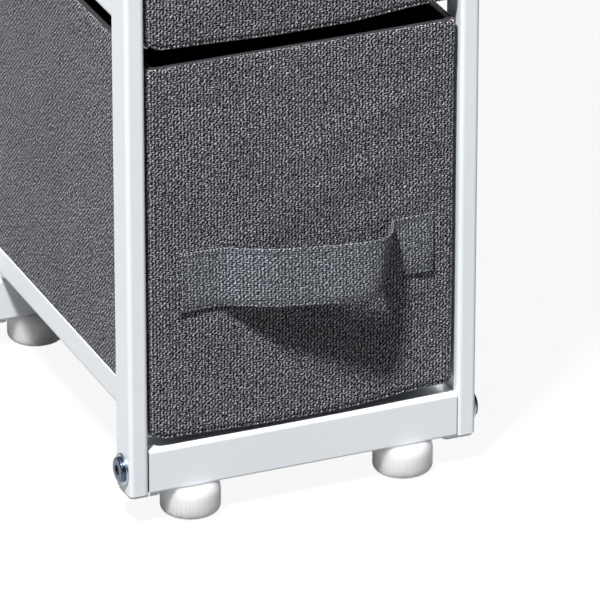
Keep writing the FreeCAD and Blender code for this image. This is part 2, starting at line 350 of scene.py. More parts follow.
@dataclass(frozen=True)
class WovenCloth:
    """Coarse weave of mixed grey yarns: short steep strokes, each paler or darker than the next."""

    name: str = "woven_cloth"
    pale: Colour = (0.66, 0.66, 0.73)
    # the colour of the darkest fibres and of the painted shade in the hollows between strokes
    dark: Colour = (0.004, 0.004, 0.005)
    upright: float = 2.19 * MM
    slanted_across: float = 3.31 * MM
    slanted_up: float = 3.11 * MM
    level: float = 1.5 * MM
    level_share: float = 0.8
    stray: float = 2.0 * MM
    stray_grain: tuple[float, float] = (250.0, 270.0)
    ridge_share: float = 0.19
    fibre: tuple[float, float, float] = (880.0, 2.0, 0.7)
    fibre_range: float = 2.6
    cut_off: tuple[float, float] = (0.4, 0.86)
    stroke: tuple[float, float] = (420.0, 1.0)
    stroke_range: float = 2.8
    speck: tuple[float, float] = (1300.0, 0.0)
    speck_range: float = 1.1
    patch: tuple[float, float, float] = (26.0, 3.0, 0.6)
    patch_range: float = 0.35
    tones: tuple[float, float] = (0.05, 1.5)
    yarn_height: float = 0.5 * MM

    def material(self) -> bpy.types.Material:
        """Mixes the finish, on the piece's own cloth map in metres.

        The weave is the sum of three waves: upright ridges, ridges that climb to the right and
        finer level ones. Where they crest together there is a stroke of yarn. The map is first
        led astray by noise, so that no two strokes are alike, and fibres roughen the sum before
        it is cut off at both ends. A stroke's tone is 1 give or take noise of the strokes' size,
        of the fibres' size and of larger patches. The colour runs with height times tone from the
        dark colour to the pale one, so the hollows between strokes are painted dark as painted
        shade, and the tone is the yarns' own mix of paler and darker greys.

        Returns:
            The material.
        """
        paint = Paint(self.name, Specular_IOR_Level=0.2, Sheen_Weight=0.02, Sheen_Roughness=0.5)
        cloth, across, up = paint.cloth()
        astray = [(paint.noise(cloth, grain, 1.0) - 0.5) * self.stray for grain in self.stray_grain]
        across, up = across + astray[0], up + astray[1]
        turn = 2 * math.pi
        climb = across * (turn / self.slanted_across) - up * (turn / self.slanted_up)
        ridges = (paint.math("COSINE", across * (turn / self.upright)) + paint.math("COSINE", climb)
                  + paint.math("COSINE", up * (turn / self.level)) * self.level_share)
        fibre, stroke, speck, patch = (paint.noise(cloth, *size) - 0.5
                                       for size in (self.fibre, self.stroke, self.speck, self.patch))
        height = paint.limits(ridges * self.ridge_share + 0.5 + fibre * self.fibre_range, *self.cut_off)
        tone = 1.0 + stroke * self.stroke_range + speck * self.speck_range + patch * self.patch_range
        # Painted shade: where the weave's height is low, between strokes, the colour goes to the
        # near-black dark one.
        colour = paint.mix(paint.limits(height * tone, *self.tones), self.dark, self.pale)
        return paint.finished(colour, 0.96 - height * 0.12, height, self.yarn_height, 0.8)


@dataclass(frozen=True)
class PressedCloth:
    """Thin pressed lining cloth, dimpled in small squares."""

    tint: Colour = (0.040, 0.041, 0.045)
    shade: Colour = (0.022, 0.023, 0.026)
    dimple: float = 1.6 * MM
    fibre: tuple[float, float] = (900.0, 2.0)
    fibre_share: float = 0.4
    relief: float = 0.12 * MM

    def material(self) -> bpy.types.Material:
        """Mixes the finish. Its dimples are the product of two sines on the cloth map.

        Returns:
            The material.
        """
        paint = Paint("pressed_cloth", Specular_IOR_Level=0.25)
        cloth, *ways = paint.cloth()
        waves = [paint.math("SINE", way * (2 * math.pi / self.dimple)) for way in ways]
        height = waves[0] * waves[1] * 0.5 + 0.5
        fibre = paint.noise(cloth, *self.fibre)
        mixed = height * (1 - self.fibre_share) + fibre * self.fibre_share
        colour = paint.mix(paint.limits(mixed, 0.2, 0.8), self.shade, self.tint)
        relief = height + fibre * self.fibre_share
        return paint.finished(colour, 0.8 + fibre * 0.15, relief, self.relief, 0.6)


@dataclass(frozen=True)
class Finishes:
    """Every finish on the unit, made once."""

    steel: bpy.types.Material
    bolt: bpy.types.Material
    zinc: bpy.types.Material
    plastic: bpy.types.Material
    cloth: bpy.types.Material
    strap: bpy.types.Material
    lining: bpy.types.Material
    board: bpy.types.Material
    laminate: bpy.types.Material
    thread: bpy.types.Material

    @classmethod
    def mixed(cls) -> "Finishes":
        """Mixes them all."""
        strap = WovenCloth("strap_cloth", (0.60, 0.63, 0.715), (0.022, 0.022, 0.025),
                           yarn_height=0.38 * MM, stroke_range=2.0)
        return cls(*(finish.material() for finish in (
            POWDER_COAT, ZINC_WITH_PAINTED_DARK_REFLECTION, PALE_ZINC, MOULDED_PLASTIC, WovenCloth(), strap, PressedCloth(),
            FIBRE_BOARD, LAMINATE_WITH_PAINTED_SHADE, SEWING_THREAD)))


def placed(name: str, data: bpy.types.ID) -> bpy.types.Object:
    """A new object in the scene, of a mesh, a lamp or a camera."""
    made = bpy.data.objects.new(name, data)
    bpy.context.scene.collection.objects.link(made)
    return made


def lengths(line: np.ndarray) -> np.ndarray:
    """The length walked along a line to each of its points."""
    return np.concatenate([[0.0], np.cumsum(np.linalg.norm(np.diff(line, axis=0), axis=1))])


def grid(rows: int, columns: int) -> np.ndarray:
    """The four vertex numbers of each face between rows of points that are closed rings."""
    row, column = np.divmod(np.arange((rows - 1) * columns), columns)
    start, after, right = row * columns, (row + 1) * columns, (column + 1) % columns
    return np.stack([start + column, start + right, after + right, after + column], -1)


def solid(name: str, vertices: np.ndarray, *faces: np.ndarray) -> bpy.types.Object:
    """Makes a piece of numbered vertices.

    Args:
        name: the piece's name.
        vertices: its vertices' places, count by 3.
        faces: vertex numbers, a face a row, with an array for each size of face.

    Returns:
        The piece, smooth shaded.
    """
    mesh = bpy.data.meshes.new(name)
    mesh.from_pydata(vertices.tolist(), [], [face for kind in faces for face in kind.tolist()])
    mesh.polygons.foreach_set("use_smooth", np.ones(len(mesh.polygons), bool))
    mesh.update()
    mesh.validate()
    return placed(name, mesh)


def face_map(uv: np.ndarray, columns: int) -> np.ndarray:
    """A cloth map at the four corners of each face of a grid: faces by 4 by 2."""
    row, column = np.divmod(np.arange((len(uv) - 1) * columns), columns)
    return np.stack([uv[row, column], uv[row, column + 1],
                     uv[row + 1, column + 1], uv[row + 1, column]], 1)


def sheet(name: str, points: np.ndarray, uv: np.ndarray | None = None,
          flat_uv: np.ndarray | None = None, flat_rows: np.ndarray | None = None) -> bpy.types.Object:
    """Joins rows of points, each row a closed ring, and closes both ends with a fan.

    Args:
        name: the piece's name.
        points: rows by columns by 3, with the surface's outside on the left of a row's direction.
        uv: rows by columns plus 1 by 2, the cloth map in metres.
        flat_uv: the same, for the fans and for bands of faces that are mapped flat.
        flat_rows: which bands between rows are mapped flat.

    Returns:
        The piece.
    """
    rows, columns = points.shape[:2]
    ring = np.arange(columns)
    turned = (ring + 1) % columns
    pole, edge = np.full(columns, rows * columns), (rows - 1) * columns
    fans = np.concatenate([np.stack([pole, turned, ring], -1),
                           np.stack([pole + 1, edge + ring, edge + turned], -1)])
    vertices = np.concatenate([points.reshape(-1, 3), [points[0].mean(0), points[-1].mean(0)]])
    piece = solid(name, vertices, grid(rows, columns), fans)
    if uv is not None:
        flat = uv if flat_uv is None else flat_uv
        wide = face_map(uv, columns)
        if flat_rows is not None:
            chosen = np.repeat(flat_rows, columns)[:, None, None]
            wide = np.where(chosen, face_map(flat, columns), wide)
        values = [wide.reshape(-1, 2)]
        for end, order in ((0, (1, 0)), (rows - 1, (0, 1))):
            middle = np.broadcast_to(flat[end, :columns].mean(0), (columns, 2))
            pair = [flat[end, ring + step] for step in order]
            values.append(np.stack([middle, *pair], 1).reshape(-1, 2))
        piece.data.uv_layers.new(name=CLOTH_UV).data.foreach_set(
            "uv", np.concatenate(values).astype(np.float32).ravel())
    return piece


@dataclass(frozen=True)
class Ripples:
    """Soft unevenness of cloth: a sum of sine waves of drawn directions, lengths and phases."""

    seed: int
    shortest: float = 28 * MM
    longest: float = 130 * MM
    waves: int = 14

    def height(self, u: np.ndarray, v: np.ndarray) -> np.ndarray:
        """The ripple at places on the cloth, from about -1 to 1.

        Args:
            u: places along the cloth, in metres.
            v: places up the cloth, in metres.

        Returns:
            The sum of the waves, each weighted by its length.
        """
        draw = np.random.default_rng(self.seed)
        length = draw.uniform(self.shortest, self.longest, self.waves)
        turn = draw.uniform(0, math.pi, self.waves)
        phase = draw.uniform(0, 2 * math.pi, self.waves)
        weight = length / length.sum()
        ahead = u[..., None] * np.cos(turn) + v[..., None] * np.sin(turn)
        return (weight * np.sin(2 * math.pi * ahead / length + phase)).sum(-1) * 2


def hump(value: np.ndarray, centre: float, width: float) -> np.ndarray:
    """A bell of height 1 about a centre: e to the minus square of the distance over the width."""
    return np.exp(-((value - centre) / width) ** 2)


def smooth(value: np.ndarray, low: float, high: float) -> np.ndarray:
    """Rises smoothly from 0 to 1 between two values."""
    part = np.clip((value - low) / (high - low), 0, 1)
    return part * part * (3 - 2 * part)


@dataclass(frozen=True)
class Ring:
    """A rectangle with rounded corners, walked anticlockwise from above."""

    low: np.ndarray
    high: np.ndarray
    corner: float
    along: int = 60
    back: int = 80
    bend: int = 7

    def points(self, inset: float) -> np.ndarray:
        """The rectangle drawn in by an inset, always with the same count of points.

        Each quarter is an arc of what is left of the corner's radius, at least a tenth of it, and
        then an evenly spaced straight side that runs on from the arc's end.

        Args:
            inset: how far in from the full rectangle, in metres.

        Returns:
            The points of x and y.
        """
        radius = max(self.corner - inset, self.corner / 10)
        centre, half = (self.low + self.high) / 2, (self.high - self.low) / 2 - inset - radius
        parts = []
        for quarter, count in enumerate((self.along, self.back, self.along, self.back)):
            start = (quarter / 2 - 1) * math.pi
            ahead = -np.round([math.cos(start), math.sin(start)])
            angle = start + np.linspace(0, math.pi / 2, self.bend)
            place = (np.array([ahead[1], -ahead[0]]) - ahead) * half
            arc = place + radius * np.stack([np.cos(angle), np.sin(angle)], -1)
            steps = np.linspace(0, 2 * abs(ahead @ half), count + 1)[1:-1, None]
            parts += [arc, arc[-1] + steps * ahead]
        return centre + np.concatenate(parts)

    def lengths(self) -> np.ndarray:
        """The walked length at each point of the full rectangle, with the whole length at the end."""
        ring = self.points(0.0)
        return lengths(np.concatenate([ring, ring[:1]]))

    def outward(self) -> np.ndarray:
        """The outward direction at each point of the rectangle."""
        points = self.points(0.0)
        ahead = np.roll(points, -1, 0) - np.roll(points, 1, 0)
        normal = np.stack([ahead[:, 1], -ahead[:, 0]], -1)
        return normal / np.linalg.norm(normal, axis=1)[:, None]


@dataclass(frozen=True)
class Shell:
    """An open box of cloth: a section carried round a rectangle, with an underside and a floor.

    Each row of points is the rectangle at one inset and height of the section. The rows of the
    underside and the floor are the section's first and last drawn towards the middle, by shares.
    """

    ring: Ring
    section: np.ndarray
    shares: tuple[float, ...]
    thickness: float

    def points(self) -> np.ndarray:
        """All rows, from the middle of the underside to that of the floor, over a base at height 0.

        Returns:
            Rows by columns by 3.
        """
        walls = [self.ring.points(inset) for inset in self.section[:, 0]]
        centre = self.ring.points(0.0).mean(0)
        plan = np.array([centre + (walls[0] - centre) * share for share in self.shares] + walls
                        + [centre + (walls[-1] - centre) * share for share in self.shares[::-1]])
        heights = self.spread(self.section[:, 1], 0.0, self.thickness)
        return np.dstack([plan, np.broadcast_to(heights[:, None], plan.shape[:2])])

    def spread(self, values: np.ndarray, underside: float, floor: float) -> np.ndarray:
        """A value for every row: the section's own, and one each for the underside and the floor."""
        count = len(self.shares)
        return np.concatenate([np.full(count, underside), values, np.full(count, floor)])

    def mesh(self, name: str, points: np.ndarray) -> bpy.types.Object:
        """Makes the box, with a cloth map that is walked on the walls and flat on both floors.

        Args:
            name: the piece's name.
            points: the box's points, after they have been moved.

        Returns:
            The object.
        """
        run = self.spread(lengths(self.section), 0.0, 0.0)
        uv = np.dstack(np.broadcast_arrays(self.ring.lengths()[None], run[:, None]))
        plan = self.points()[..., :2]
        bands, count = np.arange(len(plan) - 1), len(self.shares)
        flat_rows = (bands < count) | (bands >= len(plan) - count - 1)
        return sheet(name, points, uv, np.concatenate([plan, plan[:, :1]], 1), flat_rows)


@dataclass
class DrawerCloth:
    """The outside of one drawer: woven cloth over boards, with a hem at its rim and a low seam."""

    drawer: Drawer
    thickness: float = 1.2 * MM
    corner: float = 2.4 * MM
    fold: float = 1.4 * MM
    hem: float = 24 * MM
    hem_step: float = 0.5 * MM
    hem_groove: float = 0.25 * MM
    hem_groove_rise: float = 3 * MM
    hem_groove_width: float = 0.9 * MM
    seam: float = 2.4 * MM
    seam_depth: float = 0.9 * MM
    seam_width: float = 0.8 * MM
    side_seam: float = 0.4
    tuck: float = 0.2 * MM
    shelf: float = 24 * MM
    edge_round: float = 6 * MM
    crown: float = 1.3 * MM
    sag: float = 4.5 * MM
    sag_span: tuple[float, float] = (10 * MM, 86 * MM)
    sag_height: float = 60 * MM
    slump: float = 2.0 * MM
    slump_starts: tuple[float, float] = (MM, 11 * MM)
    slump_ends: tuple[float, float] = (16 * MM, 75 * MM)
    slump_depth: tuple[float, float] = (3 * MM, 11 * MM)
    ripple: float = 0.9 * MM
    seed: int = 11
    crease: float = 0.45 * MM
    crease_length: float = 34 * MM
    crease_slope: float = math.radians(20)
    crease_right: tuple[float, float] = (-0.5, 0.4)
    crease_up: tuple[float, float] = (0.6, 1.1)
    crease_edge: tuple[float, float] = (3 * MM, 12 * MM)
    wall_rows: int = 76
    seam_rows: int = 26
    shares: tuple[float, ...] = (0.04, 0.2, 0.4, 0.6, 0.8, 0.93, 0.99)
    low: Vector = field(init=False)
    high: Vector = field(init=False)
    centre: Vector = field(init=False)
    half: Vector = field(init=False)

    def __post_init__(self) -> None:
        """Takes the drawer's place from the frame."""
        self.low, self.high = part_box(self.drawer.node("cover"))
        self.centre, self.half = (self.low + self.high) / 2, (self.high - self.low) / 2

    def profile(self) -> tuple[np.ndarray, np.ndarray]:
        """The section from the underside's edge up the wall, over the rim and down to the floor's.

        Returns:
            The inset and height of each row, and how much each takes of what moves the outside.
        """
        quarter = np.linspace(0, math.pi / 2, 9)
        half_turn = np.linspace(0, math.pi, 7)[1:]
        rim_radius, inner = self.thickness / 2, self.fold - self.thickness
        under_rim = self.high.z - self.low.z - rim_radius
        outer_fold = self.fold * (1 - np.stack([np.sin(quarter), np.cos(quarter)], -1))
        wall = np.concatenate([np.linspace(self.fold, 4 * self.seam, self.seam_rows)[1:],
                               np.linspace(4 * self.seam, under_rim, self.wall_rows)[1:]])
        rim = np.stack([rim_radius * (1 - np.cos(half_turn)),
                        under_rim + rim_radius * np.sin(half_turn)], -1)
        inside = np.linspace(under_rim, self.fold, 10)[1:]
        inner_fold = self.fold - inner * np.stack([np.cos(quarter), np.sin(quarter)], -1)
        wall = np.stack([np.zeros_like(wall), wall], -1)
        inside = np.stack([np.full_like(inside, self.thickness), inside], -1)
        rows = np.concatenate([outer_fold, wall, rim, inside, inner_fold[1:]])
        outside = np.zeros(len(rows))
        turned = len(outer_fold) + len(wall)
        outside[:turned] = 1.0
        outside[turned:turned + 3] = (0.8, 0.5, 0.2)
        return rows, outside

    def build(self, finishes: Finishes) -> bpy.types.Object:
        """Makes the cloth and dresses it.

        Each point of the outside moves out by the crown, the ripples, the creases and the hem's
        step, in by the hem's groove and the seam, and down by the droop.

        Args:
            finishes: the unit's finishes.

        Returns:
            The finished piece.
        """
        section, outside = self.profile()
        ring = Ring(np.array(self.low.xy), np.array(self.high.xy), self.corner)
        shell = Shell(ring, section, self.shares, self.thickness)
        points = shell.points()
        outside = shell.spread(outside, 1.0, 0.0)[:, None]
        push = self.push(points, ring.lengths()[:-1]) * outside * (points[..., 2] > 0)
        points[..., :2] += ring.outward() * push[..., None]
        points[..., 2] -= self.droop(points) * outside
        points[..., 2] += self.low.z
        piece = shell.mesh(self.drawer.node("cloth"), points)
        piece.data.materials.append(finishes.cloth)
        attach(piece, self.drawer.body)
        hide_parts(self.drawer.node("cover"))
        return piece

    def push(self, points: np.ndarray, u: np.ndarray) -> np.ndarray:
        """How far the outside stands out at each point.

        The crown is a parabola across a wall times one up it. It, the ripples and the creases fade
        towards the corners and the seam, and keep off the runners: a side wall is flat for the
        height of their flanges. The hem is a smooth step with a stitched groove a little above its
        lower edge. The seam is a narrow groove near the base, and the cloth below it is tucked in.

        Args:
            points: points of the cloth, with heights from the drawer's base.
            u: their lengths along the walls.

        Returns:
            Distances in metres.
        """
        z = points[..., 2]
        height = self.high.z - self.low.z
        over_x = np.clip(1 - ((points[..., 0] - self.centre.x) / self.half.x) ** 2, 0, 1)
        over_y = np.clip(1 - ((points[..., 1] - self.centre.y) / self.half.y) ** 2, 0, 1)
        sideways = over_x < over_y
        free = np.where(sideways, smooth(z, self.shelf, 2 * self.shelf),
                        smooth(z, self.seam, self.shelf))
        wall = np.maximum(over_x, over_y) * (np.minimum(over_x, over_y) < 0.2)
        crown = self.crown * wall * np.clip(4 * (z / height) * (1 - z / height), 0, 1)
        ripple = self.ripple * Ripples(self.seed * self.drawer.value).height(u, z) * wall ** 0.5
        hem_low = height - self.hem
        hem = (self.hem_step * smooth(z, hem_low - MM, hem_low)
               - self.hem_groove * hump(z, hem_low + self.hem_groove_rise, self.hem_groove_width))
        seam = (self.tuck * (1 - smooth(z, 0.7 * self.seam, self.seam))
                + self.seam_depth * hump(z, self.seam, self.seam_width))
        seam = np.where(sideways, self.side_seam, 1.0) * seam
        return free * (crown + ripple + self.drawn(points)) + hem - seam

    def drawn(self, points: np.ndarray) -> np.ndarray:
        """The shallow slanting creases of the front's upper right, where its cloth is drawn.

        They are a cosine across their slope, and fade towards the left, the base and the edges.
        Each drawer has its own depth of them and its own shift across their slope.

        Args:
            points: points of the cloth, with heights from the drawer's base.

        Returns:
            Distances in metres.
        """
        x, z = points[..., 0] - self.centre.x, points[..., 2]
        half, sewing = self.half, SEWING[self.drawer]
        front = 1 - smooth(points[..., 1] - self.low.y, 0.2 * MM, MM)
        across = z * math.cos(self.crease_slope) - x * math.sin(self.crease_slope)
        near = (smooth(x / half.x, *self.crease_right) * smooth(half.x - x, *self.crease_edge)
                * smooth(z / half.z, *self.crease_up) * smooth(2 * half.z - z, self.hem, 2 * self.hem))
        wave = np.cos(2 * math.pi * (across + sewing.crease_shift) / self.crease_length)
        return sewing.crease_share * self.crease * front * near * wave

    def stand(self, x: np.ndarray, z: np.ndarray) -> np.ndarray:
        """How far the front wall stands out at places on it, for what is sewn on."""
        points = np.stack([x, np.full_like(x, self.low.y), z - self.low.z], -1)
        return self.push(points, x - self.low.x)

    def droop(self, points: np.ndarray) -> np.ndarray:
        """How far each point hangs below its place on a square-edged, level base.

        The base sags in an arc between the runners' shelves, which fades out up the walls. In
        front of the left shelf it slumps some more. Along the two sides its edge is a quarter
        circle, which draws the foot of the wall up.

        Args:
            points: points of the cloth, with heights from the drawer's base.

        Returns:
            Distances in metres.
        """
        z = points[..., 2]
        inside = self.half.x - np.abs(points[..., 0] - self.centre.x)
        edge = np.clip(1 - inside / self.edge_round, 0, 1)
        raised = (self.edge_round * (1 - np.sqrt(1 - edge ** 2))
                  * np.clip(1 - z / (3 * self.edge_round), 0, 1))
        slump = (smooth(inside, *self.slump_starts) * (1 - smooth(inside, *self.slump_ends))
                 * (points[..., 0] < self.centre.x)
                 * (1 - smooth(points[..., 1] - self.low.y, *self.slump_depth)))
        hang = self.sag * smooth(inside, *self.sag_span) + self.slump * slump
        return hang * (1 - smooth(z, 0, self.sag_height)) - raised


@dataclass
class DrawerLining:
    """The lining: a thin cloth box inside the boards, turned out over their tops."""

    drawer: Drawer
    board: float = 3.0 * MM
    thickness: float = 0.8 * MM
    corner: float = 1.5 * MM
    ripple: float = 0.5 * MM
    seed: int = 7
    shares: tuple[float, ...] = (0.05, 0.3, 0.6, 0.9, 0.99)

    def build(self, finishes: Finishes) -> bpy.types.Object:
        """Makes the lining and dresses it.

        Its section runs from under the floor up behind the boards, out over their tops, back to
        the inside and down to the floor, and each row is a rectangle at that inset.

        Args:
            finishes: the unit's finishes.

        Returns:
            The finished piece.
        """
        low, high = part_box(self.drawer.node("lining"))
        height = high.z - low.z
        rim = height - 0.05 * MM
        under = rim - self.thickness
        behind, inner = self.board, self.board + self.thickness
        walls = np.linspace(0.02, 0.98, 24)
        section = [(behind, share * under) for share in walls[::4]]
        section += [(behind, under), (0.3 * MM, under), (0.1 * MM, under + 0.3 * self.thickness),
                    (0.1 * MM, rim - 0.2 * MM), (0.4 * MM, rim), (0.5 * inner, rim + 0.04 * MM),
                    (inner - 0.5 * MM, rim), (inner, rim - 0.4 * MM)]
        section += [(inner, self.thickness + (rim - self.thickness) * share) for share in walls[::-1]]
        ring = Ring(np.array(low.xy), np.array(high.xy), self.corner + inner, bend=5)
        shell = Shell(ring, np.array(section), self.shares, self.thickness)
        points = shell.points()
        within = np.arange(len(points)) > len(points) - len(self.shares) - len(walls)
        z = points[..., 2]
        ripple = Ripples(self.seed * self.drawer.value).height(ring.lengths()[:-1], z)
        ripple = self.ripple * np.maximum(ripple, 0) * within[:, None] * smooth(height - z, 0, 30 * MM)
        points[..., :2] -= ring.outward() * ripple[..., None]
        points[..., 2] += low.z
        piece = shell.mesh(self.drawer.node("lining_cloth"), points)
        piece.data.materials.append(finishes.lining)
        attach(piece, self.drawer.body)
        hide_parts(self.drawer.node("lining"))
        return piece


@dataclass(frozen=True)
class Seam:
    """A row of sewn stitches: short spindles of thread laid end to end along a line."""

    stitch: float = 3.2 * MM
    share: float = 0.74
    radius: float = 0.38 * MM
    sides: int = 6

    def points(self, line: np.ndarray, normal: np.ndarray) -> np.ndarray:
        """The spindles' surfaces.

        A stitch follows its stretch of the line. Its radius is that of half a sine wave, so it
        dives into the cloth at both ends, and its section is a circle about the line.

        Args:
            line: the seam's path, as points in order.
            normal: the cloth's outward direction at each of those points.

        Returns:
            Stitches by rings by sides by 3.
        """
        walked = lengths(line)
        count = max(int(walked[-1] / self.stitch), 1)
        along = np.linspace(-0.5, 0.5, 5)
        places = ((np.arange(count)[:, None] + 0.5 + self.share * along) / count * walked[-1])
        centre = np.stack([np.interp(places, walked, line[:, k]) for k in range(3)], -1)
        out = np.stack([np.interp(places, walked, normal[:, k]) for k in range(3)], -1)
        ahead = np.gradient(centre, axis=1)
        ahead /= np.linalg.norm(ahead, axis=-1)[..., None]
        across = np.cross(ahead, out)
        bulge = self.radius * (0.25 + 0.75 * np.cos(math.pi * along))[None, :, None, None]
        angle = np.linspace(0, 2 * math.pi, self.sides, endpoint=False)[None, None, :, None]
        lift = out[:, :, None] * (np.cos(angle) + 0.2) + across[:, :, None] * np.sin(angle)
        return centre[:, :, None] + lift * bulge

    def build(self, name: str, lines: list[tuple[np.ndarray, np.ndarray]],
              finishes: Finishes) -> bpy.types.Object:
        """Makes one piece of all the stitches along some lines.

        Args:
            name: the piece's name.
            lines: each line's points and the outward directions there.
            finishes: the unit's finishes.

        Returns:
            The finished piece.
        """
        spindles = np.concatenate([self.points(line, normal) for line, normal in lines])
        count, rings, sides = spindles.shape[:3]
        ends = np.stack([np.arange(sides)[::-1], (rings - 1) * sides + np.arange(sides)])
        first = (np.arange(count) * rings * sides)[:, None, None]
        faces = ((kind + first).reshape(-1, kind.shape[1]) for kind in (grid(rings, sides), ends))
        piece = solid(name, spindles.reshape(-1, 3), *faces)
        piece.data.materials.append(finishes.thread)
        return piece


@dataclass(frozen=True)
class StrapLine:
    """The line of a strap in plan: along the drawer's front, out in a bow, and back to it.

    Its points are pairs of the place along the front, from the strap's middle, and the distance
    off it, in millimetres. A strap that is creased at its right end and one that is not have as
    many points, so that a drawer's own strap can lie between them.
    """

    crease: float
    mirrored: bool = False
    even: tuple = ((-87, 0), (-72, 0), (-62, 0), (-54, 0), (-48, 5), (-39, 11.5), (-24, 16.4), (-8, 18),
                   (8, 18), (24, 16.4), (39, 11.5), (48, 5), (54, 0), (62, 0), (72, 0), (87, 0))
    creased: tuple = ((-87, 0), (-74, 0), (-66, 0), (-57, 0), (-48, 4.5), (-37, 9.5), (-21, 14),
                      (-3, 17.5), (15, 20.5), (31, 23), (44, 22), (52, 13), (55.5, 2), (57, 0), (70, 0),
                      (87, 0))
    samples: int = 900

    def walk(self) -> tuple[np.ndarray, np.ndarray]:
        """Samples of the line, and the length walked to each.

        The line is a cubic B-spline: each point is a blend of four of the given points, weighted
        by (1-t)^3, 3t^3-6t^2+4, -3t^3+3t^2+3t+1 and t^3, all over 6. One more point is added
        beyond each end, so that the line starts and ends on the outermost given points.

        Returns:
            The samples, in metres, and the lengths.
        """
        given = np.array(self.even) * (1 - self.crease) + np.array(self.creased) * self.crease
        given = np.concatenate([[2 * given[0] - given[1]], given, [2 * given[-1] - given[-2]]]) * MM
        place = np.linspace(0, len(given) - 3, self.samples)
        start = np.minimum(place.astype(int), len(given) - 4)
        t = (place - start)[:, None]
        weights = ((1 - t) ** 3, 3 * t ** 3 - 6 * t ** 2 + 4,
                   -3 * t ** 3 + 3 * t ** 2 + 3 * t + 1, t ** 3)
        line = sum(weight / 6 * given[start + step] for step, weight in enumerate(weights))
        if self.mirrored:
            line = line[::-1] * [-1, 1]
        return line, lengths(line)


@dataclass
class StrapHandle:
    """A drawer's handle: a strap of folded woven cloth, sewn flat at both ends and bowed between."""

    drawer: Drawer
    thickness: float = 2.1 * MM
    sunk: float = 0.5 * MM
    edge: float = 0.8 * MM
    stitch_inset: float = 3.2 * MM
    groove: float = 0.4 * MM
    groove_width: float = 1.1 * MM
    squareness: float = 0.3
    drop: float = 1.4 * MM
    lean: float = 0.5 * MM
    lift: float = 0.9 * MM
    lift_share: float = 0.12
    slant: float = 0.22
    slant_share: float = 0.79
    slant_width: float = 0.16
    full_bow: float = 18 * MM
    waver: float = 0.5 * MM
    waves: tuple[float, float, int] = (20 * MM, 60 * MM, 8)
    seed: int = 31
    along: int = 190
    across: int = 44
    centre: Vector = field(init=False)
    half: Vector = field(init=False)
    back: float = field(init=False)
    line: np.ndarray = field(init=False)
    walked: np.ndarray = field(init=False)

    def __post_init__(self) -> None:
        """Takes the strap's place from the frame and its line from the drawer."""
        low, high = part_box(self.drawer.node("handle"))
        self.centre, self.half, self.back = (low + high) / 2, (high - low) / 2, high.y
        sewing = SEWING[self.drawer]
        self.line, self.walked = StrapLine(sewing.strap_crease, sewing.strap_mirrored).walk()

    def surface(self, walked: np.ndarray, height: np.ndarray, depth: np.ndarray) -> np.ndarray:
        """Points in the strap, by length along it, height across it and depth through it.

        A point stands off the line by its depth, square to the line. The bow hangs by the square
        of its share of the full bow, and leans out a little at its lower edge. Its right crease is
        slanted: the lower the point, the further left it is. The sewn ends stand off a little at
        their lower corners, and the whole strap follows the cloth that it is sewn to.

        Args:
            walked: lengths along the strap from its left end.
            height: heights above its middle.
            depth: distances in front of its middle.

        Returns:
            The points.
        """
        half, length, sewing = self.half.z, self.walked[-1], SEWING[self.drawer]
        early = (self.slant * (half / 2 - height)
                 * hump(walked, self.slant_share * length, self.slant_width * length))
        slope = np.gradient(self.line, self.walked, axis=0)
        place, ahead = (np.stack([np.interp(walked + early, self.walked, part) for part in way.T], -1)
                        for way in (self.line, slope))
        place[..., 0] -= early
        ahead /= np.linalg.norm(ahead, axis=-1)[..., None]
        bow = np.clip(place[..., 1] / self.full_bow, 0, 1)
        from_end = np.minimum(walked, length - walked)
        sewn = 1 - smooth(from_end, 0, self.lift_share * length)
        loose = self.lift * sewn * smooth(-height, -half, half)
        ripples = Ripples(self.seed * self.drawer.value, *self.waves)
        depth = depth + ripples.height(walked, height) * self.waver * bow
        along = place[..., 0] - ahead[..., 1] * depth
        out = place[..., 1] + ahead[..., 0] * depth - self.lean * bow * height / half + loose
        x = self.centre.x + along + sewing.strap_offset
        z = self.centre.z + height - self.drop * bow ** 2 + sewing.strap_slope * along
        cloth = DrawerCloth(self.drawer).stand(x, z)
        return np.stack([x, self.back + self.sunk - self.thickness / 2 - out - cloth, z], -1)

    def build(self, finishes: Finishes) -> list[bpy.types.Object]:
        """Makes the strap and its stitches.

        The section is a flat band with rounded edges: height and depth are the cosine and sine of
        a turn, both raised to a small power. Grooves are pressed in along the edges' and ends'
        stitches, and the depth shrinks over the strap's very ends as a quarter circle.

        Args:
            finishes: the unit's finishes.

        Returns:
            The strap and its stitching.
        """
        length, half_high, half_thick = self.walked[-1], self.half.z, self.thickness / 2
        end = self.edge * (1 - np.cos(np.linspace(0, math.pi / 2, 5)[1:]))
        walked = np.concatenate([end, np.linspace(self.edge, length - self.edge, self.along)[1:-1],
                                 (length - end)[::-1]])
        from_end = np.minimum(walked, length - walked)
        swell = np.sqrt(1 - (1 - np.clip(from_end / self.edge, 0, 1)) ** 2)
        turn = np.linspace(0, 2 * math.pi, self.across, endpoint=False)
        height, depth = (half * np.sign(way) * np.abs(way) ** self.squareness
                         for half, way in ((half_high, np.cos(turn)), (half_thick, np.sin(turn))))
        section = np.stack([height, depth], -1)
        girth = lengths(np.concatenate([section, section[:1]]))
        from_edge = half_high - np.abs(height)
        pressed = np.maximum(hump(from_edge, self.stitch_inset, self.groove_width)[None],
                             hump(from_end, self.stitch_inset, self.groove_width)[:, None])
        puff = 1 - self.groove / half_thick * pressed * (np.abs(depth) > 0.5 * half_thick)
        points = self.surface(np.broadcast_to(walked[:, None], puff.shape),
                              np.broadcast_to(height[None], puff.shape), depth * puff * swell[:, None])
        uv = np.dstack(np.broadcast_arrays(walked[:, None], -girth[None])) + 0.5
        strap = sheet(self.drawer.node("strap"), points, uv)
        strap.data.materials.append(finishes.strap)
        stitches = Seam().build(self.drawer.node("strap_stitches"), self.seams(), finishes)
        for piece in (strap, stitches):
            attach(piece, self.drawer.body)
        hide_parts(self.drawer.node("handle"))
        return [strap, stitches]

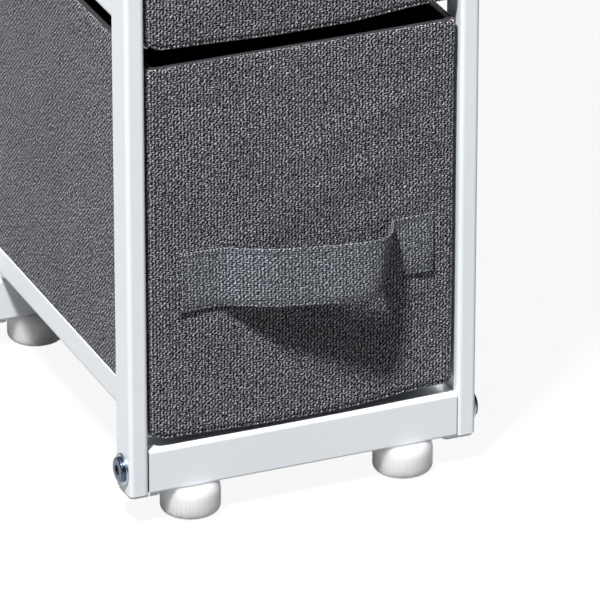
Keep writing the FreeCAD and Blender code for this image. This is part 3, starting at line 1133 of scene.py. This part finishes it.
    def seams(self) -> list[tuple[np.ndarray, np.ndarray]]:
        """The rows of stitches: along both edges, and across each sewn end twice.

        Returns:
            Each row's points and the outward directions there.
        """
        length, inset, steps = self.walked[-1], self.stitch_inset, np.linspace(0, 1, 200)
        half = self.half.z - inset
        sewn = np.flatnonzero(self.line[:, 1] > 0.1 * MM)
        first, last = self.walked[sewn[0]] - inset, self.walked[sewn[-1]] + inset
        rows = [(inset + (length - 2 * inset) * steps, np.full_like(steps, side * half))
                for side in (-1, 1)]
        rows += [(np.full_like(steps, place), half * (2 * steps - 1))
                 for place in (inset, first, last, length - inset)]
        made = []
        for walked, height in rows:
            depth = np.full_like(steps, (self.thickness - self.groove) / 2)
            face = self.surface(walked, height, depth)
            normal = face - self.surface(walked, height, np.zeros_like(steps))
            made.append((face, normal / np.linalg.norm(normal, axis=1)[:, None]))
        return made


@dataclass
class RibbedFoot:
    """A round white foot with fine upright ribs under a smooth domed shoulder."""

    corner: Corner
    ribs: int = 72
    per_rib: int = 6
    rib_height: float = 0.3 * MM
    rim: float = 4.4 * MM
    shoulder_width: float = 4.2 * MM
    shoulder_height: float = 7.6 * MM
    rows: int = 20
    shares: tuple[float, ...] = (0.02, 0.5, 0.9)

    def build(self, finishes: Finishes) -> bpy.types.Object:
        """Makes the foot and dresses it.

        The section is a quarter circle up round the rim, an upright side, and a quarter ellipse
        over the shoulder. Round the side the radius also waves once per rib, not on the shoulder
        or underneath.

        Args:
            finishes: the unit's finishes.

        Returns:
            The finished piece.
        """
        node = "foot_" + self.corner.value
        low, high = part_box(node)
        centre = (low + high) / 2
        radius, height = (high.x - low.x) / 2, high.z - low.z
        quarter = np.linspace(0, math.pi / 2, 9)
        rim = np.stack([radius - self.rim * (1 - np.sin(quarter)),
                        self.rim * (1 - np.cos(quarter))], -1)
        level = np.linspace(self.rim, height - self.shoulder_height, self.rows)[1:]
        side = np.stack([np.full_like(level, radius), level], -1)
        shoulder = np.stack([radius - self.shoulder_width * (1 - np.cos(quarter)),
                             height - self.shoulder_height * (1 - np.sin(quarter))], -1)[1:]
        shares = np.array(self.shares)
        flat = np.stack([shares * (radius - self.rim), 0 * shares], -1)
        lid = np.stack([shares[::-1] * (radius - self.shoulder_width), 0 * shares + height], -1)
        section = np.concatenate([flat, rim, side, shoulder, lid])
        angle = np.linspace(0, 2 * math.pi, self.ribs * self.per_rib, endpoint=False)
        wave = 1 - np.abs(np.sin(angle * self.ribs / 2))
        z = section[:, 1]
        ribbed = (smooth(z, 0.2 * self.rim, self.rim)
                  * smooth(height - z, 0.8 * self.shoulder_height, self.shoulder_height))
        distance = section[:, :1] - self.rib_height * ribbed[:, None] * wave[None]
        points = np.stack([centre.x + distance * np.cos(angle), centre.y + distance * np.sin(angle),
                           np.broadcast_to(low.z + z[:, None], distance.shape)], -1)
        piece = sheet("ribbed_" + node, points)
        piece.data.materials.append(finishes.plastic)
        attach(piece, node)
        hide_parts(node)
        return piece


@dataclass(frozen=True)
class Frame:
    """The metal, boards and fasteners that keep their own shapes and only get their finishes."""

    zinc: tuple[str, ...] = ("bolt_washers", "rail_nuts", "foot_nuts", "board_screws")

    def dress(self, finishes: Finishes) -> None:
        """Gives every piece of the frame its finish.

        Args:
            finishes: the unit's finishes.
        """
        for name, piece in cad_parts.items():
            finish = finishes.steel
            if name == "frame_bolts":
                finish = finishes.bolt
            elif name in self.zinc or name.startswith("stud_"):
                finish = finishes.zinc
            elif name == "top_board":
                finish = finishes.laminate
            elif name.endswith(("_board", "_boards")):
                finish = finishes.board
            elif name.endswith(("_cover", "_lining", "_handle")):
                finish = finishes.thread
            piece.data.materials.clear()
            piece.data.materials.append(finish)
        log.info("dressed %d frame nodes", len(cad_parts))


def aim(name: str, data: bpy.types.ID, target: Vector, distance: float, azimuth: float,
        elevation: float) -> bpy.types.Object:
    """Places a lamp or a camera round a target and turns it to face that.

    Args:
        name: the object's name.
        data: the lamp or camera.
        target: the point that it faces.
        distance: how far from the target it stands.
        azimuth: its place round the target in degrees, 0 in front and negative to the left.
        elevation: its height in degrees.

    Returns:
        The object.
    """
    a, e = math.radians(azimuth), math.radians(elevation)
    back = Vector((math.sin(a) * math.cos(e), -math.cos(a) * math.cos(e), math.sin(e)))
    made = placed(name, data)
    made.location = target + back * distance
    made.rotation_mode = "QUATERNION"
    made.rotation_quaternion = (-back).to_track_quat("-Z", "Y")
    return made


@dataclass(frozen=True)
class Lamp:
    """A square lamp: its power in watts, its side, and its place round the unit's middle."""

    name: str
    power: float
    size: float
    distance: float
    azimuth: float
    elevation: float


@dataclass(frozen=True)
class Studio:
    """The floor, the lamps and the camera at the photograph's angle."""

    azimuth: float = -22.93
    elevation: float = 25.46
    distance: float = 4.43
    lens: float = 420.0
    sensor: float = 36.0
    target_from_side: float = 116.8 * MM
    target_above_rail: float = 117.6 * MM
    floor_size: float = 60.0
    floor_grey: float = 0.23
    floor_glow: float = 0.8
    glow_strength: float = 1.15
    lamps: tuple[Lamp, ...] = (Lamp("key", 755.0, 0.6, 6.0, -46.0, 60.0),
                               Lamp("back", 280.0, 4.0, 6.0, 148.0, 28.0))
    sky: float = 0.05

    def build(self) -> None:
        """Sets up the whole studio."""
        self.camera()
        for lamp in self.lamps:
            self.lamp(lamp)
        self.world()
        self.floor()

    def camera(self) -> None:
        """The camera, aimed at the lowest drawer."""
        post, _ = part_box("post_front_left")
        target = Vector((post.x + self.target_from_side, post.y, post.z + self.target_above_rail))
        data = bpy.data.cameras.new("camera")
        data.lens, data.sensor_width = self.lens, self.sensor
        bpy.context.scene.camera = aim("camera", data, target, self.distance, self.azimuth,
                                       self.elevation)

    @staticmethod
    def lamp(lamp: Lamp) -> None:
        """Hangs one lamp, turned to the unit's middle."""
        low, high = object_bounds()
        data = bpy.data.lights.new(lamp.name, "AREA")
        data.energy, data.size = lamp.power, lamp.size
        aim(lamp.name, data, (low + high) / 2, lamp.distance, lamp.azimuth, lamp.elevation)

    def world(self) -> None:
        """An even grey sky for light, and white wherever the camera sees it."""
        world = bpy.data.worlds.new("studio")
        world.use_nodes = True
        tree = world.node_tree
        back = tree.nodes["Background"]
        path = tree.nodes.new("ShaderNodeLightPath")
        strength = tree.nodes.new("ShaderNodeMapRange")
        strength.inputs[3].default_value = self.sky
        strength.inputs[4].default_value = 1.0
        back.inputs["Color"].default_value = (1.0, 1.0, 1.0, 1.0)
        tree.links.new(path.outputs["Is Camera Ray"], strength.inputs[0])
        tree.links.new(strength.outputs[0], back.inputs["Strength"])
        bpy.context.scene.world = world

    def floor(self) -> None:
        """A pale floor that the camera sees as white, with a soft shadow left on it."""
        half = self.floor_size / 2
        mesh = bpy.data.meshes.new("floor")
        mesh.from_pydata([(-half, -half, 0), (half, -half, 0), (half, half, 0), (-half, half, 0)], [],
                         [(0, 1, 2, 3)])
        floor = placed("floor", mesh)
        paint = Paint("studio_floor", Base_Color=(self.floor_grey,) * 3, Roughness=0.8,
                      Specular_IOR_Level=0.0)
        glow = paint.node("ShaderNodeEmission", None,
                          {"Color": (1.0, 1.0, 1.0), "Strength": self.glow_strength})
        path = paint.tree.nodes.new("ShaderNodeLightPath")
        seen = paint.math("MAXIMUM", Wire(paint, path.outputs["Is Camera Ray"]),
                          Wire(paint, path.outputs["Is Glossy Ray"]))
        mixed = paint.node("ShaderNodeMixShader", None, {
            0: seen * self.floor_glow, 1: Wire(paint, paint.shader.outputs[0]), 2: glow})
        paint.feed(paint.tree.nodes["Material Output"].inputs["Surface"], mixed)
        mesh.materials.append(paint.material)
        floor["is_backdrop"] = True


def main() -> None:
    """Builds and dresses the whole unit."""
    logging.basicConfig(level=logging.INFO)
    bpy.context.scene.view_settings.view_transform = "Standard"
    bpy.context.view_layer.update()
    finishes = Finishes.mixed()
    Frame().dress(finishes)
    for drawer in Drawer:
        for part in (DrawerCloth(drawer), DrawerLining(drawer), StrapHandle(drawer)):
            part.build(finishes)
            log.info("built %s of %s", type(part).__name__, drawer.body)
    for corner in Corner:
        RibbedFoot(corner).build(finishes)
        log.info("built the foot at the %s", corner.value)
    Studio().build()


if __name__ == "__main__":
    main()
